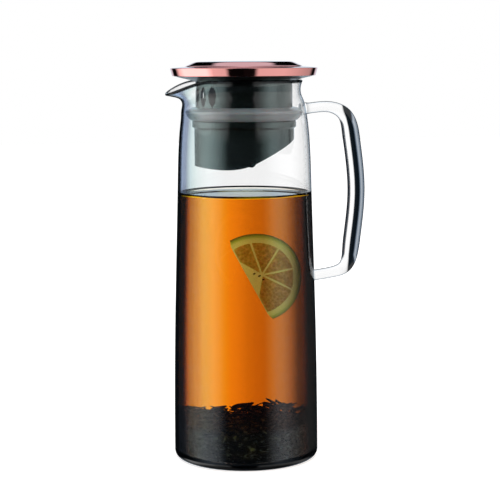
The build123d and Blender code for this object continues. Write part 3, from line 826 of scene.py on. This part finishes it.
def makeLemon():
    place = lemonPlace()
    inner = lemon["radius"] - lemon["rind"] - lemon["pith"]
    middle, core = Vector((0.0, 0.0)), Vector(lemon["core"])
    whole = sliceOutline(middle, lemon["radius"], lemon["cut"], -180, 176, 89)
    pieces = [("lemonPeel", slabMesh("lemonPeel", whole, lemon["thickness"] * 0.9, 0.6), peelMaterial)]
    sides = (lemon["ends"][0],) + lemon["membranes"] + (lemon["ends"][1],)
    for k, (start, end) in enumerate(zip(sides, sides[1:])):
        direction = math.radians((start + end) / 2)
        apart = lemon["membrane"] / math.sin(math.radians(abs(start - end) / 2))
        tip = core + Vector((math.cos(direction), math.sin(direction))) * apart
        edge = sliceOutline(tip, inner, lemon["cut"] + 0.4, start, end, 18)
        wedge = slabMesh("lemonSegment", [tuple(tip)] + edge, lemon["thickness"], 0.5)
        pieces.append((f"lemonSegment{k + 1}", wedge, fleshMaterial))
    for x, y in lemon["pips"]:
        pip = [(x + lemon["pipLength"] * math.cos(t), y + lemon["pipWidth"] * math.sin(t))
               for t in np.linspace(0, 2 * math.pi, 17)[:-1]]
        pieces.append(("lemonPip", slabMesh("lemonPip", pip, lemon["thickness"] + 0.6, 0.2), leafFinish))
    for name, mesh, material in pieces:
        mesh.name = name
        piece = addPiece(name, mesh, material, "jug")
        piece.matrix_world = place


makeLemon()
print("lemon made")

# Cap: pressed sheet with a leaning band, a sloping flange and a low dome
cap = {
    "overhang": 0.5, "bandHeight": 5.4, "bandTaper": 1.45, "sheet": 0.7,
    "domeRadius": 40.5, "domeTopRadius": 33.0, "flangeFall": 0.9, "crown": 0.5,
}
capLow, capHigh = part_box("lid_cap")
capBottom, capTop = capLow[2] / mm, capHigh[2] / mm


def makeCap():
    radius = carafe["baseRadius"] + cap["overhang"]
    edge = capBottom + cap["bandHeight"]
    domeBase = edge + cap["flangeFall"]
    domeTop, ridge = cap["domeTopRadius"], capTop - cap["crown"]
    sheet, low = cap["sheet"], radius - cap["bandTaper"]
    outline = roundedSection([
        (0.0, capTop, 0), (domeTop, ridge, 0), (cap["domeRadius"] - 2.3, domeBase + 2.6, 0),
        (cap["domeRadius"], domeBase, 0.8), (radius, edge, 0.55), (low, capBottom, 0.3),
        (low - sheet, capBottom, 0.3), (radius - sheet, edge - sheet, 0.5),
        (cap["domeRadius"] - sheet, domeBase - sheet, 0.5), (domeTop, ridge - sheet, 0),
        (0.0, ridge - sheet, 0),
    ], 1.2)
    crown = [(domeTop * k / 12, capTop - cap["crown"] * (k / 12) ** 2) for k in range(12)]
    # The side of the dome is nearly a cone, so it mirrors the dark card ahead as one even patch
    fall = smoothLine(
        [(domeTop, ridge), (domeTop + 1.4, capTop - 0.85), (domeTop + 4.0, capTop - 1.98),
         (cap["domeRadius"] - 0.9, capTop - 3.12)],
        20, (1, -2 * cap["crown"] / domeTop))
    start = next(i for i, (r, z) in enumerate(outline) if r >= cap["domeRadius"] - 0.85)
    end = max(i for i, (r, z) in enumerate(outline) if r > 0.01)
    section = crown + fall + outline[start:end + 1] + [(0.0, ridge - sheet)]
    mesh = latheMesh("capShell", section, 256, closed=False)
    addPiece("capShell", mesh, copperMaterial, "lid", ["lid_cap"])


makeCap()
print("cap made")

# Carried-over nodes keep their shape and take their finish here
finishes = {
    "lid_plate": darkMaterial, "pour_sleeve": smokyMaterial, "seal_ring": siliconeMaterial,
    "strainer_cup": smokyMaterial, "cup_o_ring": rubberMaterial, "strainer_screen": steelMaterial,
    "pour_flap": smokyMaterial, "flap_gasket": siliconeMaterial, "flap_weight": steelMaterial,
    "hinge_pin": darkMaterial,
}
for nodeName, finish in finishes.items():
    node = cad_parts[nodeName]
    node.data.materials.clear()
    node.data.materials.append(finish)
    node.data.shade_smooth()
    node.data.set_sharp_from_angle(angle=math.radians(32))
print("nodes finished")

# Studio: a white room seen by direction, with dark cards that draw the edges of glass and metal. Each list
# goes round the room in degrees: 0 is straight ahead, minus is left, 180 is behind the camera
studio = {
    "domeLight": 0.8, "boxLight": 1.9, "keyPower": 9.0, "keySize": 0.9, "floorSize": 8.0, "floorLift": 0.5,
    # seen through the glass
    "through": [
        (-180, 0.95), (-66, 0.9), (-46, 0.5), (-26, 0.55), (-12, 0.86), (-4, 1.0), (6, 1.02), (14, 1.1),
        (24, 1.12), (36, 1.05), (44, 0.9), (60, 0.9), (180, 0.95)],
    # mirrored by the leaning band and the dome: soft boxes left and right, a dark wall behind the camera
    "outside": [
        (-180, "#040404"), (-156, "#060606"), (-149, "#b4b4b4"), (-128, "#bcbcbc"), (-116, "#ffffff"),
        (-68, "#ffffff"), (-54, "#c4c4c4"), (-44, "#040404"), (-30, "#040404"), (-24, "#a4b2bc"),
        (24, "#a4b2bc"), (30, "#040404"), (40, "#040404"), (50, "#8c8c8c"), (110, "#b8b8b8"),
        (155, "#b4b4b4"), (162, "#0a0a0a")],
    # mirrored by upright glass: a tall blue white box on the left, a weaker one on the right, the rest dark
    "upright": [
        (-180, 0.06), (-150, 0.08), (-138, 0.4), (-126, 0.6), (-110, 0.45), (-94, 0.15), (-84, 0.03),
        (-60, 0.01), (80, 0.01), (98, 0.15), (108, 0.25), (128, 0.4), (140, 0.12), (152, 0.05)],
    "uprightTint": (0.75, 0.95, 1.2),
    # mirrored inside the glass: the same room, its dark wall spread by the glass
    "inside": [
        (-180, "#040404"), (-143, "#060606"), (-134, "#7c7c7c"), (-112, "#cccccc"), (-88, "#f4f4f4"),
        (-70, "#e0e0e0"), (-50, "#a0a0a0"), (-30, "#808080"), (-9, "#a4b2bc"), (9, "#a4b2bc"),
        (30, "#909090"), (60, "#a0a0a0"), (90, "#909090"), (114, "#b8b8b8"), (134, "#7c7c7c"),
        (148, "#141414"), (156, "#040404")],
    # shares of the height of the room, from below to above, or of the way round it
    "uprightHeights": (0.27, 0.3, 0.54, 0.57), "cardHeights": (0.595, 0.615, 0.8, 0.825),
    "cardSides": (0.44, 0.46, 0.54, 0.56),
}


def boxColour(level):
    return [c * level for c in studio["uprightTint"]] + [1.0]


def buildWorld():
    world = bpy.data.worlds.new("studioRoom")
    bpy.context.scene.world = world
    add = startNodes(world)
    place = add("TexCoord")
    sideways = add("VectorMath", settings=dotProduct,
                   values={1: towardsRight}, links={0: place.outputs["Generated"]})
    away = add("VectorMath", settings=dotProduct,
               values={1: awayFromEye}, links={0: place.outputs["Generated"]})
    turn = add("Math", settings={"operation": "ARCTAN2"},
               links={0: sideways.outputs["Value"], 1: away.outputs["Value"]})
    around = add("MapRange", values={"From Min": -math.pi, "From Max": math.pi}, links={"Value": turn})
    rise = add("SeparateXYZ", links={0: place.outputs["Generated"]})
    height = add("MapRange", values={"From Min": -1.0, "From Max": 1.0},
                 links={"Value": rise.outputs["Z"]})
    views = {}
    for name, colourOf in (
            ("through", grey), ("outside", linearColour), ("upright", boxColour), ("inside", linearColour)):
        views[name] = add("ValToRGB", links={"Fac": around}, stops=[
            ((degrees + 180) / 360, colourOf(tone)) for degrees, tone in studio[name]])
    # Parts of the room: white between the two middle places, black beyond the outer ones
    parts = {}
    for name, source in (("uprightHeights", height), ("cardHeights", height), ("cardSides", around)):
        parts[name] = add("ValToRGB", links={"Fac": source}, stops=[
            (place, grey(level)) for place, level in zip(studio[name], (0.0, 1.0, 1.0, 0.0))])
    below = add("MapRange", values={"From Min": 0.1, "From Max": 0.2, "To Min": 0.1},
                links={"Value": height})
    # A dark card hangs ahead, where the dome's steep side mirrors it round a bright middle
    card = add("Math", settings=multiplied, links={0: parts["cardHeights"], 1: parts["cardSides"]})
    noCard = add("Math", settings={"operation": "SUBTRACT"}, values={0: 1.0}, links={1: card})
    lit = add("Math", settings=multiplied, links={0: noCard, 1: below})
    strength = add("Math", settings=multiplied, values={1: studio["boxLight"]}, links={0: lit})
    boxes = add("VectorMath", settings={"operation": "SCALE"},
                links={0: views["outside"], "Scale": strength})
    path = add("LightPath")
    # Only the perfectly smooth glass mirrors the upright boxes, the metal and the plastic see the soft ones
    smooth = add("Math", settings=multiplied,
                 links={0: parts["uprightHeights"], 1: path.outputs["Is Singular Ray"]})
    mirroredOut = add("Mix", settings=colourMix, links={"Factor": smooth, 6: boxes, 7: views["upright"]})
    within = add("Math", settings=above, values={1: 0.5}, links={0: path.outputs["Transmission Depth"]})
    mirroredIn = add("VectorMath", settings={"operation": "SCALE"},
                     values={"Scale": studio["boxLight"]}, links={0: views["inside"]})
    boxed = add("Mix", settings=colourMix,
                links={"Factor": within, 6: mirroredOut.outputs[2], 7: mirroredIn})
    bounced = add("Math", settings=above, values={1: 0.5}, links={0: path.outputs["Glossy Depth"]})
    seenThrough = add("Mix", settings=colourMix, values={6: grey(studio["domeLight"])},
                      links={"Factor": path.outputs["Is Transmission Ray"], 7: views["through"]})
    seenMirrored = add("Mix", settings=colourMix,
                       links={"Factor": bounced, 6: seenThrough.outputs[2], 7: boxed.outputs[2]})
    seenStraight = add("Mix", settings=colourMix, values={7: grey(1.0)},
                       links={"Factor": path.outputs["Is Camera Ray"], 6: seenMirrored.outputs[2]})
    light = add("Background", values={"Strength": 1.0}, links={"Color": seenStraight.outputs[2]})
    add("OutputWorld", links={"Surface": light})


def buildFloor():
    half = studio["floorSize"] / 2
    mesh = bpy.data.meshes.new("studioFloor")
    corners = [(x * half, y * half, -0.0002) for x, y in ((-1, -1), (1, -1), (1, 1), (-1, 1))]
    mesh.from_pydata(corners, [], [(0, 1, 2, 3)])
    floor = bpy.data.objects.new("studioFloor", mesh)
    bpy.context.scene.collection.objects.link(floor)
    material, add = startMaterial("studioFloorPale")[:2]
    matte = add("BsdfDiffuse", values={"Color": grey(0.88)})
    path = add("LightPath")
    # The camera sees the floor a little lighter, so that it runs into the white room
    lift = add("Emission", values={"Strength": studio["floorLift"]})
    nothing = add("Emission", values={"Strength": 0.0})
    seen = add("MixShader", links={0: path.outputs["Is Camera Ray"], 1: nothing, 2: lift})
    both = add("AddShader", links={0: matte, 1: seen})
    add("OutputMaterial", links={"Surface": both})
    mesh.materials.append(material)
    floor.visible_glossy = False
    floor.visible_transmission = False


def buildLamps():
    aim = Vector((0, 0, 0.14))
    for name, place, power in (
        ("keyLamp", Vector((-0.7, -0.7, 1.3)), studio["keyPower"]),
        ("fillLamp", Vector((0.9, -0.4, 1.1)), studio["keyPower"] * 0.5),
    ):
        lamp = bpy.data.lights.new(name, "AREA")
        lamp.size = studio["keySize"]
        lamp.energy = power
        rig = bpy.data.objects.new(name, lamp)
        rig.location = place
        rig.rotation_euler = (aim - place).to_track_quat("-Z", "Y").to_euler()
        for ray in ("camera", "glossy", "transmission"):
            setattr(rig, "visible_" + ray, False)
        bpy.context.scene.collection.objects.link(rig)


def placeCamera():
    camera = bpy.data.cameras.new("shotCamera")
    camera.lens = shot["lens"]
    camera.sensor_width = shot["sensor"]
    camera.clip_start = 0.01
    camera.clip_end = 50
    rig = bpy.data.objects.new("shotCamera", camera)
    place = (-awayFromEye * shot["distance"] + towardsRight * shot["sideStep"]
             + Vector((0, 0, shot["eyeHeight"])))
    pitch = math.radians(shot["pitch"])
    forward = awayFromEye * math.cos(pitch) - Vector((0, 0, math.sin(pitch)))
    upwards = awayFromEye * math.sin(pitch) + Vector((0, 0, math.cos(pitch)))
    turned = Matrix((towardsRight, upwards, -forward)).transposed().to_4x4()
    rig.matrix_world = (Matrix.Translation(place * mm) @ turned
                        @ Matrix.Rotation(-math.radians(shot["roll"]), 4, "Z"))
    bpy.context.scene.collection.objects.link(rig)
    bpy.context.scene.camera = rig


buildWorld()
buildFloor()
buildLamps()
placeCamera()
bpy.context.scene.view_settings.view_transform = "Standard"
print("studio built")
